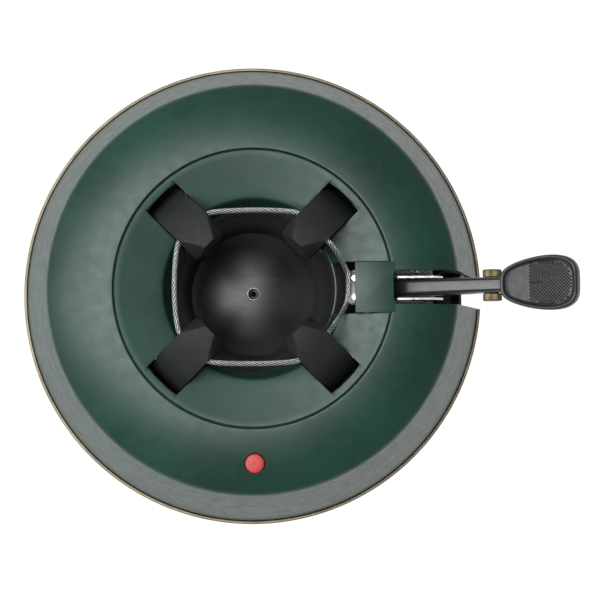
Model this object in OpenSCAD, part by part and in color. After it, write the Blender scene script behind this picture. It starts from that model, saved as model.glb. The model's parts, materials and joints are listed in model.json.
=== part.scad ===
// Foot-operated, single-cable tree stand with four gripping claws.
// Origin: on the stand's vertical axis, on the floor. +Z up, the foot lever points along +X.

/* [Base] */
// Radius of the whole foot, over the trim ring
base_r = 200; // [196:1:206]
// Height of the rubber feet
foot_h = 3; // [2:0.5:4]
// Thickness of the base pan's floor
pan_t = 3; // [2:0.5:4]
// Half width of the notch that the lever drops into
notch_half = 14; // [13.8:0.1:15]

/* [Shell] */
// Height of the shell where it meets the cover ring
shell_top = 137; // [135:1:139]
// Radius of the shell's seat for the cover ring
seat_r = 111.2; // [110.8:0.1:112]
// Wall thickness of the shell
wall = 3; // [2.4:0.2:3.4]
// Radius of the shallow crown, in section
crown_r = 106; // [100:1:112]
// Steepness of the skirt, in degrees from level
skirt_slope = 74; // [73:0.5:75]
// Half width of the lever slot
slot_half = 13.6; // [13.4:0.1:13.8]
// Where the lever slot starts, from the axis
slot_x = 111; // [110.5:0.5:111.5]

/* [Cover ring and bowl] */
// Outer radius of the cover ring
ring_r = 110; // [109:0.5:110.4]
// Inner radius of the cover ring
ring_in = 71; // [70.5:0.5:72]
// Height of the cover ring's inner edge
ring_low = 127; // [125:1:128]
// Inner radius of the trunk bowl
bowl_r = 66; // [65:0.5:66.5]
// Height of the middle of the bowl's bottom
bowl_floor = 20.5; // [20.3:0.1:20.6]

/* [Claws] */
// Width of a claw
claw_w = 31; // [29:0.5:31.5]
// Distance of a claw's pivot from the axis
pivot_r = 96; // [95:0.5:97]
// Height of a claw's pivot
pivot_z = 74; // [72:1:76]
// Radius of a claw's pivot pin
claw_pin_r = 3; // [2.5:0.25:3]

/* [Cable] */
// Diameter of the wire rope
rope_d = 4; // [3:0.5:4]
// Distance of the cable hole from the axis
hole_r = 66.5; // [66:0.5:67]
// Height of the cable hole
hole_z = 152; // [151:0.5:153]

/* [Lever] */
// Rise of the raised lever, in degrees
lever_rise = 30; // [28:1:31]
// Half width of the lever at the drum
lever_half = 7; // [6.5:0.25:7.25]
// Half width of the lever under the pad
tip_half = 5.6; // [5.2:0.1:5.8]
// Length of the foot pad
pad_len = 62; // [58:1:66]
// Width of the foot pad
pad_w = 42; // [38:1:46]

/* [Ratchet] */
// Distance of the drum shaft from the axis
shaft_x = 132; // [131:0.5:133]
// Height of the drum shaft
shaft_z = 90; // [89:0.5:91]
// Radius of the drum shaft
shaft_r = 5; // [4.5:0.25:5]
// Number of ratchet teeth
teeth = 24; // [24:24:24]
// Radius over the ratchet teeth
tooth_r = 22; // [21.5:0.25:22.25]

/* [Float] */
// Distance of the water gauge from the axis
float_y = 138.5; // [136:0.5:141]
// Radius of the red gauge cap
cap_r = 7.5; // [7:0.25:7.75]

/* [Hidden] */
$fn = 96;

shell_green = "#1f4a3b";
plastic_black = "#1b1d1f";
steel = "#9aa0a4";
zinc = "#c9ccd0";
bronze = "#6b5638";

azimuths = [45, 135, 225, 315];
pan_z = foot_h + pan_t;
rope_r = rope_d / 2;
eps = 0.01;

// Running clearance of every pin in its bore
run_gap = 0.06;

// Points of an arc, with angles counted from straight up towards the outside
function arc(c, r, from, to, steps) =
    [for (i = [0:steps]) let (a = from + (to - from) * i / steps) [c[0] + r * sin(a), c[1] + r * cos(a)]];

// The same points in the opposite order
function turned_back(p) = [for (i = [len(p) - 1:-1:0]) p[i]];

// A slab of the 2D outline drawn in X and Z, centred on Y = 0
module slab(thick) rotate([90, 0, 0]) linear_extrude(height = thick, center = true) children();
// The same slab between two distances from Y = 0
module slab_between(from, to) translate([0, (from + to) / 2, 0]) slab(to - from) children();
// A cylinder along Y, centred on Y = 0
module bar_y(r, length) rotate([90, 0, 0]) cylinder(r = r, h = length, center = true);
// Both mirror images about the lever's own plane
module both_sides() { children(); mirror([0, 1, 0]) children(); }
// The four claw positions
module at_claws() for (a = azimuths) rotate([0, 0, a]) children();

// ---- Base ----
feet_r = 170;
socket_r = 14.4;

module lever_notch(half) translate([176, -half, -1]) cube([40, 2 * half, 220]);

module base_pan() color(plastic_black) difference() {
    union() {
        translate([0, 0, foot_h]) cylinder(r = base_r - 4, h = pan_t);
        rotate_extrude() translate([base_r - 14, pan_z - eps]) square([3, 10]);
        rotate_extrude() translate([socket_r, pan_z - eps]) square([3, 6]);
    }
    lever_notch(notch_half);
    translate([170, -18, pan_z]) cube([40, 36, 20]);
    bracket_holes();
    frame_holes();
}

module rubber_feet() color("#222222") {
    cylinder(r = 9, h = foot_h);
    for (a = [22.5:45:337.5]) rotate([0, 0, a]) translate([feet_r, 0, 0]) cylinder(r = 9, h = foot_h);
}

module trim_ring() color(bronze) difference() {
    rotate_extrude() polygon(concat(
        [[base_r - 10, 1], [base_r - 1, 1], [base_r, 2]],
        [for (a = [0:15:90]) [base_r - 1.2 + 1.2 * cos(a), 6.8 + 1.2 * sin(a)]],
        [[base_r - 2.4, 8], [base_r - 2.4, foot_h], [base_r - 10, foot_h]]));
    lever_notch(notch_half);
}

// ---- Shell ----
crown_c = [seat_r - crown_r * sin(2), shell_top - crown_r * cos(2)];
crown_end = 31;
crease_r = 8;
crease_c = crown_c + (crown_r - crease_r) * [sin(crown_end), cos(crown_end)];
function skirt_point(inset, z) =
    let (r = crease_r - inset, x = crease_c[0] + r * sin(skirt_slope), top = crease_c[1] + r * cos(skirt_slope))
    [x + (top - z) / tan(skirt_slope), z];
inner_from = asin((seat_r + wall - crown_c[0]) / (crown_r - wall));
ledge_z = 130;
shell_section = concat(
    arc(crown_c, crown_r, 2, crown_end, 8),
    arc(crease_c, crease_r, crown_end + 8, skirt_slope, 5),
    [skirt_point(0, pan_z), skirt_point(wall, pan_z)],
    arc(crease_c, crease_r - wall, skirt_slope, crown_end + 8, 5),
    arc(crown_c, crown_r - wall, crown_end, inner_from, 8),
    [[seat_r + wall, ledge_z - wall], [seat_r - 7, ledge_z - wall], [seat_r - 7, ledge_z], [seat_r, ledge_z]]);

tongue_half = 19.9;
tongue_in = 80.7;
tongue_t = 3.5;

// The lever slot: square at the rim, with round inner corners
module slot_outline() {
    corner = 4;
    translate([slot_x + corner, -slot_half]) square([120, 2 * slot_half]);
    translate([slot_x, corner - slot_half]) square([20, 2 * (slot_half - corner)]);
    for (s = [-1, 1]) translate([slot_x + corner, s * (slot_half - corner)]) circle(r = corner);
}

module outer_shell() color(shell_green) difference() {
    union() {
        rotate_extrude() polygon(shell_section);
        intersection() {
            translate([tongue_in, -tongue_half, shell_top - tongue_t]) cube([40, 2 * tongue_half, tongue_t]);
            cylinder(r = seat_r + 1, h = 200);
        }
    }
    translate([0, 0, -1]) linear_extrude(height = 220) slot_outline();
    translate([0, -float_y, 100]) cylinder(r = cap_r + 0.7, h = 60);
}

module slot_liner() color(plastic_black) {
    both_sides() slab_between(slot_half + 0.6, slot_half + 2.6)
        polygon([[160, pan_z], [187, pan_z], [163, 100], [160, 104]]);
    translate([173.5, -slot_half - 0.6, pan_z]) cube([2, 2 * slot_half + 1.2, 54]);
}

// ---- Cover ring ----
ring_t = 3;
lip_low = 108;
lip_in = bowl_r + 0.5;
ring_section = [[ring_r, shell_top - 0.6], [ring_r - 0.8, shell_top], [ring_in + 2.6, ring_low + 0.4],
    [ring_in + 0.9, ring_low - 0.7], [ring_in, ring_low - 2.8], [lip_in, lip_low + 1.4], [lip_in, lip_low],
    [lip_in + ring_t, lip_low], [ring_in + ring_t, ring_low - ring_t], [ring_r - 4, shell_top - ring_t - 1],
    [ring_r - 4, ledge_z], [ring_r, ledge_z]];
claw_slot_end = 103.8;

module cover_ring() color(shell_green) difference() {
    rotate_extrude() polygon(ring_section);
    translate([0, -tongue_half - 0.7, 90]) cube([130, 2 * tongue_half + 1.4, 60]);
    at_claws() translate([50, -claw_w / 2 - 0.7, 90]) cube([claw_slot_end - 50, claw_w + 1.4, 60]);
}

// ---- Bowl ----
bowl_wall = 3;
rim_r = 75.5;
valley_r = bowl_r - 12;
// The bottom falls away from its middle to a valley at the foot of the wall
function dome(r, drop) = [r, bowl_floor - (pow(min(r, 45), 2) - 42) / 300 - 0.3 * max(r - 45, 0) - drop];
function bowl_side(out, drop) = let (low = dome(valley_r, drop)[1])
    [[valley_r, low], [bowl_r - 8 + out, low + 8], [bowl_r - 4 + out, low + 20], [bowl_r - 1 + out, low + 38],
     [bowl_r + out, 70]];
bowl_inside = concat(
    [[0, bowl_floor], [6.5, bowl_floor]],
    [for (r = [12:7:47]) dome(r, 0)], bowl_side(0, 0), [[bowl_r, lip_low]]);
bowl_section = concat(
    [[0, bowl_floor - bowl_wall], [6.5, bowl_floor - bowl_wall]],
    [for (r = [12:7:47]) dome(r, 2.7)], bowl_side(bowl_wall, 2.7),
    [[bowl_r + bowl_wall, lip_low - 3], [rim_r, lip_low - 3], [rim_r, lip_low - 1.8], [bowl_r + 1.5, lip_low]],
    turned_back(bowl_inside));

module trunk_bowl() color(plastic_black) difference() {
    union() {
        rotate_extrude() polygon(bowl_section);
        translate([0, 0, pan_z]) cylinder(r = 14, h = bowl_floor - pan_z - 2);
    }
    at_claws() translate([48, -claw_w / 2 - 1.5, 64]) cube([60, claw_w + 3, 60]);
    translate([0, 0, pan_z + 2]) cylinder(r = 2, h = 20);
}

module centre_spike() color(steel) {
    translate([0, 0, pan_z + 2]) cylinder(r = 2, h = bowl_floor - pan_z - 2);
    translate([0, 0, bowl_floor]) cylinder(r = 5.6, h = 2.5);
    translate([0, 0, bowl_floor + 2.5 - eps]) cylinder(r = 1.6, h = 3.6);
    translate([0, 0, bowl_floor + 6.1 - 2 * eps]) cylinder(r1 = 1.6, r2 = 0.2, h = 4.2);
}

// ---- Claw carriers ----
ear_in = claw_w / 2 + 0.9;
ear_t = 4;

module ear_outline() {
    translate([pivot_r - 10, pan_z]) square([20, pivot_z - pan_z]);
    translate([pivot_r, pivot_z]) circle(r = 10);
}

module bracket_holes() at_claws() for (s = [-1, 1])
    translate([pivot_r, s * 26, 0]) cylinder(r = 2, h = pan_z + 5);

module claw_brackets() color(zinc) difference() {
    at_claws() {
        both_sides() slab_between(ear_in, ear_in + ear_t) ear_outline();
        translate([pivot_r - 10, -31, pan_z]) cube([20, 62, 3]);
    }
    bracket_holes();
    at_claws() translate([pivot_r, 0, pivot_z]) bar_y(claw_pin_r, 60);
}

module claw_pins() color(steel) at_claws() translate([pivot_r, 0, pivot_z]) {
    bar_y(claw_pin_r, 2 * (ear_in + ear_t) + 1);
    both_sides() translate([0, ear_in + ear_t + 1.2, 0]) bar_y(claw_pin_r + 1.6, 1.4);
}

hub_half = 9.5;
module claw_springs() color(steel) at_claws() translate([pivot_r, 0, pivot_z]) both_sides()
    translate([0, (hub_half + ear_in) / 2, 0]) difference() {
        bar_y(6, ear_in - hub_half - 0.8);
        bar_y(claw_pin_r + 0.4, 20);
    }

module bracket_screws() color(steel) at_claws() for (s = [-1, 1]) translate([pivot_r, s * 26, 0]) {
    translate([0, 0, 1]) cylinder(r = 3.6, h = foot_h - 1);
    cylinder_between(2, foot_h - eps, pan_z + 3);
    translate([0, 0, pan_z + 3]) cylinder(r = 3.6, h = 3, $fn = 6);
}
module cylinder_between(r, from, to) translate([0, 0, from]) cylinder(r = r, h = to - from);

// ---- Claws ----
claw_side = [[103, 84], [103, 103], [100.5, 116], [95, 129], [87.5, 140], [79, 148.7], [69.5, 155.8],
    [59.5, 160.8], [47.5, 163.5], [45, 128], [46.5, 117], [58, 106], [80, 84], [87, 71], [96, 68]];
claw_plan = [[45, -7.6], [45, 7.6], [48.5, claw_w / 2], [110, claw_w / 2], [110, -claw_w / 2],
    [48.5, -claw_w / 2]];
// Three points of the sloping face beside the raised ridge
ridge_face = [[66, claw_w / 2, 157.4], [47.5, 4.8, 163.5], [48.5, claw_w / 2, 138]];
ridge_normal = let (n = cross(ridge_face[2] - ridge_face[0], ridge_face[1] - ridge_face[0])) n / norm(n);

module ridge_cut() translate(ridge_face[0])
    rotate([0, acos(ridge_normal[2]), atan2(ridge_normal[1], ridge_normal[0])])
    translate([-60, -60, 0]) cube([120, 120, 60]);

module claw() difference() {
    union() {
        intersection() {
            slab(claw_w) polygon(claw_side);
            translate([0, 0, 60]) linear_extrude(height = 110) polygon(claw_plan);
        }
        translate([pivot_r, 0, pivot_z]) bar_y(9, 2 * hub_half);
    }
    both_sides() {
        ridge_cut();
        translate([84, hub_half, 50]) cube([40, 20, 36]);
    }
    translate([pivot_r, 0, pivot_z]) bar_y(claw_pin_r + run_gap, 60);
    translate([hole_r, 0, hole_z]) bar_y(rope_r + 0.7, 60);
    both_sides() translate([hole_r, claw_w / 2 - 2.5, hole_z]) rotate([-90, 0, 0])
        cylinder(r1 = rope_r + 0.7, r2 = rope_r + 2, h = 2.6);
}

module claw_ne() color("#2b2e31") rotate([0, 0, 45]) claw();
module claw_nw() color("#2b2e31") rotate([0, 0, 135]) claw();
module claw_sw() color("#2b2e31") rotate([0, 0, 225]) claw();
module claw_se() color("#2b2e31") rotate([0, 0, 315]) claw();

// ---- Cable ----
rope_sides = 8;
function unit(v) = v / norm(v);
function heading(p, i) = unit(p[min(i + 1, len(p) - 1)] - p[max(i - 1, 0)]);
// A ring of points about the route, square to it
function rope_ring(p, i) =
    let (d = heading(p, i), a = unit(cross([0.1, 0.2, 1], d)), b = cross(d, a))
    [for (k = [0:rope_sides - 1]) let (w = 360 * k / rope_sides) p[i] + rope_r * (a * cos(w) + b * sin(w))];

module rope(p) {
    n = len(p);
    points = [for (i = [0:n - 1]) each rope_ring(p, i)];
    walls = [for (i = [0:n - 2], k = [0:rope_sides - 1]) let (m = (k + 1) % rope_sides)
        each [[i * rope_sides + k, (i + 1) * rope_sides + k, (i + 1) * rope_sides + m],
            [i * rope_sides + k, (i + 1) * rope_sides + m, i * rope_sides + m]]];
    near = [for (k = [0:rope_sides - 1]) k];
    far = [for (k = [rope_sides - 1:-1:0]) (n - 1) * rope_sides + k];
    color(zinc) polyhedron(points = points, faces = concat(walls, [near, far]));
}

// A span between two neighbouring claws, bowed outwards, ending inside their holes
half_span = (hole_r - claw_w / 2) / sqrt(2) + 3;
span_out = (hole_r + claw_w / 2) / sqrt(2) - 3;
function span(bow) = [for (i = [0:20]) let (x = half_span * (i / 10 - 1))
    [x, span_out + 3 * (1 - pow(abs(i / 10 - 1), 12)) + bow * (1 - pow(i / 10 - 1, 2)), hole_z]];

module cable_north() rope(span(2.2));
module cable_west() rotate([0, 0, 90]) rope(span(3.6));
module cable_south() rotate([0, 0, 180]) rope(span(1.8));

// The two ends leave the east claws, cross behind the bowl's rim and turn round the guide posts
post_x = 80.4;
post_y = 7.4;
post_r = 2.5;
turn_r = post_r + rope_r + 0.1;
cross_high = 131;
cross_low = 126.2;
cross_x = post_x - turn_r;
function lead(drop) = [[53.7, 40.3, hole_z], [58, 36, hole_z], [62, 31.6, 150 - drop], [67, 25, 144.5 - drop],
    [71.4, 18.1, 137.5 - drop], [74.6, 11.5, 133 - drop], [cross_x - 0.1, 4.5, 131.3 - drop],
    [cross_x, -1.5, cross_high - drop], [cross_x, -post_y, cross_high - drop]];
winding_r = 13.5;
// Where the straight run meets the drum, and where the drawn run stops short of the winding
function run_end(z) =
    let (d = [post_x - shaft_x, z - shaft_z], a = atan2(d[1], d[0]) - acos(winding_r / norm(d)))
    [shaft_x + winding_r * cos(a), -post_y - turn_r, shaft_z + winding_r * sin(a)];
function run(z) = let (end = run_end(z), start = [post_x, -post_y - turn_r, z], way = end - start) concat(
    [for (a = [180:15:270]) [post_x + turn_r * cos(a), -post_y + turn_r * sin(a), z]],
    [for (i = [1:5]) start + way * (1 - 11.5 / norm(way)) * i / 5]);

module cable_lead_north() rope(lead(0));
module cable_lead_south() rope([for (p = lead(cross_high - cross_low)) [p[0], -p[1], p[2]]]);
module cable_run_north() rope(run(cross_high));
module cable_run_south() rope([for (p = run(cross_low)) [p[0], -p[1], p[2]]]);

plate_in = 8;
plate_out = 9.6;

module guide_bracket() color(steel) translate([75.5, -plate_out, 121]) cube([32, 2 * plate_out, 2]);
module guide_posts() color(steel) both_sides() translate([post_x, post_y, 0]) {
    cylinder_between(post_r, 123, 133.2);
}

// ---- Ratchet frame ----
hold_pin = [shaft_x - 27, shaft_z - 24];
plate_side = [[96, pan_z], [158, pan_z], [158, 40], [154, 70], [154, 108], [146, 118], [116, 118], [113, 112],
    [107.5, 112], [107.5, 121], [97, 121], [96, 112]];
spacers = [[104, 24], [150, 24], [148, 62]];

module frame_plate() color(zinc) difference() {
    union() {
        slab_between(plate_in, plate_out) polygon(plate_side);
        translate([96, plate_in, pan_z]) cube([62, 14, 2]);
    }
    translate([shaft_x, 0, shaft_z]) bar_y(shaft_r + run_gap, 60);
    translate([hold_pin[0], 0, hold_pin[1]]) bar_y(2.5, 60);
    for (p = spacers) translate([p[0], 0, p[1]]) bar_y(2, 60);
    frame_holes();
}
module frame_plate_left() frame_plate();
module frame_plate_right() mirror([0, 1, 0]) frame_plate();
module frame_holes() both_sides() for (x = [104, 150]) translate([x, 17, 0]) cylinder(r = 2, h = pan_z + 5);

module frame_spacers() color(steel) for (p = spacers) translate([p[0], 0, p[1]]) difference() {
    bar_y(4, 2 * plate_in);
    bar_y(2, 60);
}
module frame_bolts() color(steel) for (p = spacers) translate([p[0], 0, p[1]]) {
    bar_y(2, 2 * plate_out);
    both_sides() translate([0, plate_out + 1.25, 0]) bar_y(3.6, 2.5);
}
module frame_screws() color(steel) both_sides() for (x = [104, 150]) translate([x, 17, 0]) {
    cylinder_between(3.6, 1, foot_h);
    cylinder_between(2, foot_h - eps, pan_z + 2);
    translate([0, 0, pan_z + 2]) cylinder(r = 3.6, h = 3, $fn = 6);
}

// ---- Drum ----
root_r = 18.8;
wheel_half = 2.5;
core_r = winding_r - rope_r;
turn_y = [12, 16.1];
flange_y = 18.4;

module at_shaft() translate([shaft_x, 0, shaft_z]) children();

module drum_shaft() color(steel) at_shaft() bar_y(shaft_r, 2 * 22);

module ratchet_wheel() color(steel) at_shaft() difference() {
    slab(2 * wheel_half) polygon([for (i = [0:teeth - 1]) let (a = i * 360 / teeth)
        each [[tooth_r * cos(a), tooth_r * sin(a)], [root_r * cos(a), root_r * sin(a)]]]);
    bar_y(shaft_r, 20);
}

module cable_drums() color(zinc) at_shaft() both_sides() difference() {
    translate([0, (plate_out + 0.3 + flange_y) / 2, 0]) bar_y(core_r, flange_y - plate_out - 0.3);
    bar_y(shaft_r, 60);
}

module drum_flanges() color(zinc) at_shaft() both_sides() difference() {
    translate([0, flange_y + 0.9, 0]) bar_y(18, 1.8);
    bar_y(shaft_r, 60);
}

module cable_windings() color(zinc) at_shaft() both_sides() for (y = turn_y)
    translate([0, y, 0]) rotate([90, 0, 0]) rotate_extrude() translate([winding_r, 0]) circle(r = rope_r, $fn = 32);

// ---- Pawls, drawn engaged and turned clear of the teeth ----
hold_lift = 12;
hold_nose = [[-19.3, -0.95], [-24.5, -0.35], [-31.4, -23], [-22.6, -23.5], [-22, -6.5]];
drive_lift = 14;
drive_nose = [[4.62, 18.75], [6.17, 24.5], [-11, 30], [-14.6, 22.6], [-0.3, 22.75]];
drive_pin_uv = [1, 30];
drive_pin = [drive_pin_uv[0] * cos(lever_rise) - drive_pin_uv[1] * sin(lever_rise),
    drive_pin_uv[0] * sin(lever_rise) + drive_pin_uv[1] * cos(lever_rise)];

module pawl(pin, nose, lift, hub, bore) at_shaft() difference() {
    slab(6) translate(pin) rotate(lift) translate(-pin) union() {
        polygon(nose);
        translate(pin) circle(r = hub);
    }
    translate([pin[0], 0, pin[1]]) bar_y(bore + run_gap, 20);
}

module hold_pawl() color(steel) pawl([-27, -24], hold_nose, hold_lift, 4.6, 2.5);
module hold_pawl_pin() color(zinc) translate([hold_pin[0], 0, hold_pin[1]]) {
    bar_y(2.5, 2 * plate_out);
    both_sides() translate([0, plate_out + 0.8, 0]) bar_y(4, 1.6);
}
module hold_pawl_spring() color(steel) translate([hold_pin[0], 0, hold_pin[1]]) both_sides()
    translate([0, 5.5, 0]) difference() {
        bar_y(4.2, 4.2);
        bar_y(2.7, 20);
    }

// ---- Lever, drawn along its own length and raised about the drum shaft ----
web_v = 38.3;
web_t = 2.4;
lever_side = [[-11.8, 2], [-3.4, 33], [0, web_v], [146, web_v], [146, 31],
    [70, 20.3], [26, 20.3], [11.4, -4]];
lock_uv = [78, 24];
pad_from = 91.5;

module at_lever() at_shaft() rotate([0, -lever_rise, 0]) children();

// The lever's outline from above, drawn in by an inset, narrows towards the pad
taper = [25, 95];
function lever_edge(side, inset) = [[-40, side * (lever_half - inset)], [taper[0], side * (lever_half - inset)],
    [taper[1], side * (tip_half - inset)], [160, side * (tip_half - inset)]];
module lever_plan(inset) translate([0, 0, -60]) linear_extrude(height = 120)
    polygon(concat(lever_edge(1, inset), turned_back(lever_edge(-1, inset))));

module lever_arm() color("#2a2c2f") at_lever() difference() {
    intersection() {
        lever_plan(0);
        union() {
            slab(2 * lever_half) polygon(lever_side);
            bar_y(12, 2 * lever_half);
        }
    }
    intersection() {
        lever_plan(2);
        slab(2 * lever_half)
            polygon([[-41, -40], [-41, 33], [-2, web_v - web_t], [161, web_v - web_t], [161, -40]]);
    }
    bar_y(shaft_r + run_gap, 40);
    translate([drive_pin_uv[0], 0, drive_pin_uv[1]]) bar_y(2, 40);
    translate([lock_uv[0], 0, lock_uv[1]]) bar_y(2, 40);
    for (u = pad_screw_u) translate([u, 0, 0]) cylinder(r = 1.5, h = 60);
}

module lever_springs() color(steel) at_shaft() both_sides() translate([0, 3.8, 0]) difference() {
    bar_y(7.4, 1.8);
    bar_y(shaft_r + 0.3, 20);
}

module drive_pawl() color(steel) pawl(drive_pin, drive_nose, drive_lift, 4, 2);
module drive_pawl_pin() color(zinc) at_lever() translate([drive_pin_uv[0], 0, drive_pin_uv[1]])
    bar_y(2, 2 * lever_half);
module drive_pawl_spring() color(steel) at_lever() translate([drive_pin_uv[0], 0, drive_pin_uv[1]]) both_sides()
    translate([0, 4, 0]) difference() {
        bar_y(3.6, 1.4);
        bar_y(2.2, 20);
    }

// ---- Foot pad ----
pad_screw_u = [106, 134];
pad_low = 33.5;
pad_face = 43;
pad_rim = 45;
// Egg outline, blunt at both ends, widest two thirds of the way out
function egg(inset) = [for (i = [0:71]) let (t = 5 * i, s = sin(t), c = cos(t))
    [pad_from + pad_len / 2 - (pad_len / 2 - inset) * c,
        (pad_w / 2 - inset) * sign(s) * pow(abs(s), 0.55) * (1 - 0.2 * c) / 1.033]];

module pedal_pad() color(plastic_black) at_lever() difference() {
    translate([0, 0, pad_low]) linear_extrude(height = pad_rim - pad_low) polygon(egg(0));
    translate([0, 0, pad_face]) linear_extrude(height = 10) polygon(egg(3.6));
    translate([0, 0, pad_low - 1]) linear_extrude(height = web_v - pad_low + 1) polygon(egg(3));
    translate([80, -tip_half - 0.4, 20]) cube([40, 2 * tip_half + 0.8, web_v - 20]);
    for (u = pad_screw_u) translate([u, 0, web_v - 1]) cylinder(r = 1.5, h = 4);
}

module pad_insert() color("#3a3b3f") at_lever()
    translate([0, 0, pad_face]) linear_extrude(height = 1.2) polygon(egg(3.9));

module pad_screws() color(steel) at_lever() for (u = pad_screw_u) translate([u, 0, 0]) {
    cylinder_between(3, web_v - web_t - 2, web_v - web_t);
    cylinder_between(1.5, web_v - web_t - eps, web_v + 3);
}

// ---- Lock ----
lock_in = 6.35;
lock_out = 12.4;
module lock_catch() color(bronze) at_lever() translate([lock_uv[0], 0, lock_uv[1]]) {
    difference() {
        both_sides() slab_between(lock_in, lock_out) circle(r = 7.5);
        bar_y(2 + run_gap, 40);
    }
    slab(2 * lock_out)
        polygon(concat(arc([0, 0], 9.5, 164, 196, 8), arc([0, 0], 6.6, 196, 164, 8)));
}
module lock_pin() color(steel) at_lever() translate([lock_uv[0], 0, lock_uv[1]]) bar_y(2, 2 * lock_out - 0.6);

// ---- Water gauge ----
crown_at_float = crown_c[1] + sqrt(pow(crown_r, 2) - pow(float_y - crown_c[0], 2));
module at_float() translate([0, -float_y, 0]) children();

module float_tube() color(plastic_black) at_float() difference() {
    cylinder_between(11.5, pan_z, 118);
    cylinder_between(10, pan_z + 2, 119);
    for (a = [0, 90]) rotate([0, 0, a]) translate([-20, -2, pan_z + 2]) cube([40, 4, 8]);
}
module float_body() color("#d9d6cc") at_float() cylinder_between(9, pan_z + 3, pan_z + 43);
module float_stem() color("#d9d6cc") at_float() cylinder_between(2.5, pan_z + 43, crown_at_float - 4);
module float_cap() color("#e8494c") at_float() {
    cylinder_between(cap_r, crown_at_float - 4, crown_at_float + 1);
    translate([0, 0, crown_at_float + 1]) intersection() {
        translate([0, 0, -17.8]) sphere(r = 19.3);
        cylinder(r = cap_r, h = 3);
    }
}

base_pan();
rubber_feet();
trim_ring();
outer_shell();
slot_liner();
cover_ring();
trunk_bowl();
centre_spike();
claw_brackets();
claw_pins();
claw_springs();
bracket_screws();
claw_ne();
claw_nw();
claw_sw();
claw_se();
cable_north();
cable_west();
cable_south();
cable_lead_north();
cable_lead_south();
cable_run_north();
cable_run_south();
guide_bracket();
guide_posts();
frame_plate_left();
frame_plate_right();
frame_spacers();
frame_bolts();
frame_screws();
drum_shaft();
cable_drums();
drum_flanges();
cable_windings();
ratchet_wheel();
hold_pawl();
hold_pawl_pin();
hold_pawl_spring();
lever_arm();
lever_springs();
drive_pawl();
drive_pawl_pin();
drive_pawl_spring();
pedal_pad();
pad_insert();
pad_screws();
lock_catch();
lock_pin();
float_tube();
float_body();
float_stem();
float_cap();
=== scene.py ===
"""The looks of a foot-lever tree stand whose rope pulls four claws together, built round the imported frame.

Lengths are millimetres until piece() turns a drawn mesh into an object, in metres.
"""

import json
import math

import bmesh
import bpy
from mathutils import Matrix, Vector


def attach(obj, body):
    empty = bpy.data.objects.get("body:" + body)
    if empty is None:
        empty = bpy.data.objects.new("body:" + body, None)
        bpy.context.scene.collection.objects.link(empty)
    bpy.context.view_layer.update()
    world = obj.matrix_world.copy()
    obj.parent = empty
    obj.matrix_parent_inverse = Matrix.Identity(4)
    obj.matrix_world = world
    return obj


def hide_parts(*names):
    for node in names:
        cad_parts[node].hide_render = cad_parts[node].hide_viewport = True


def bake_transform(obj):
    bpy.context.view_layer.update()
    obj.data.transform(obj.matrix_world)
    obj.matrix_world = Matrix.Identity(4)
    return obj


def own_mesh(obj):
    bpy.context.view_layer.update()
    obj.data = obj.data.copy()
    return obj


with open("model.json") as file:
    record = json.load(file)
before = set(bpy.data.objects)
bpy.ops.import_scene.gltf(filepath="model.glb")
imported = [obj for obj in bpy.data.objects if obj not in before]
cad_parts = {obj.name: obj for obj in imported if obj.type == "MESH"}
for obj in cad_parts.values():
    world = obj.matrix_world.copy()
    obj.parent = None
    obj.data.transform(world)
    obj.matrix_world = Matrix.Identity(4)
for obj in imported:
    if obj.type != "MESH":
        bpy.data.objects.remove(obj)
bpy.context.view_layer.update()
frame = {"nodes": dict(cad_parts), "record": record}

MM = 0.001


# ---- Drawing meshes ----
def arc(centre, radius, start, end, steps):
    """Points of an arc, with angles in degrees from straight up towards the outside."""
    angles = [math.radians(start + (end - start) * i / steps) for i in range(steps + 1)]
    return [(centre[0] + radius * math.sin(a), centre[1] + radius * math.cos(a)) for a in angles]


def circle_xz(x, y, z, radius, steps=64):
    """A ring of points about an axis that runs along Y."""
    turns = [2 * math.pi * i / steps for i in range(steps)]
    return [(x + radius * math.cos(a), y, z + radius * math.sin(a)) for a in turns]


def lofted(rings, drawing=None):
    """A skin through rings of points, closed at both ends."""
    drawing = drawing or bmesh.new()
    loops = [[drawing.verts.new(p) for p in ring] for ring in rings]
    for near, far in zip(loops, loops[1:]):
        for i in range(len(near)):
            j = (i + 1) % len(near)
            drawing.faces.new((near[i], near[j], far[j], far[i]))
    drawing.faces.new(loops[0])
    drawing.faces.new(loops[-1])
    return drawing


def slab(outline, from_y, to_y):
    """An outline in X and Z, given thickness along Y."""
    return lofted([[(x, y, z) for x, z in outline] for y in (from_y, to_y)])


def prism(outline, from_z, to_z):
    """An outline in X and Y, given height."""
    return lofted([[(x, y, z) for x, y in outline] for z in (from_z, to_z)])


def bar(x, z, profile, drawing=None, steps=64):
    """A round bar along Y from pairs of distance and radius."""
    return lofted([circle_xz(x, y, z, radius, steps) for y, radius in profile], drawing)


def turned(section, steps=240, drawing=None):
    """A closed section of radius and height, turned about the upright axis."""
    drawing = drawing or bmesh.new()
    turns = [2 * math.pi * i / steps for i in range(steps)]
    rings = [[drawing.verts.new((r * math.cos(a), r * math.sin(a), z)) for r, z in section] for a in turns]
    for i in range(steps):
        near, far = rings[i], rings[(i + 1) % steps]
        for j in range(len(section)):
            k = (j + 1) % len(section)
            drawing.faces.new((near[j], far[j], far[k], near[k]))
    bmesh.ops.remove_doubles(drawing, verts=drawing.verts, dist=0.0005)
    return drawing


def placed(drawing, matrix):
    """Moves a drawing."""
    bmesh.ops.transform(drawing, matrix=matrix, verts=drawing.verts)
    return drawing


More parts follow.
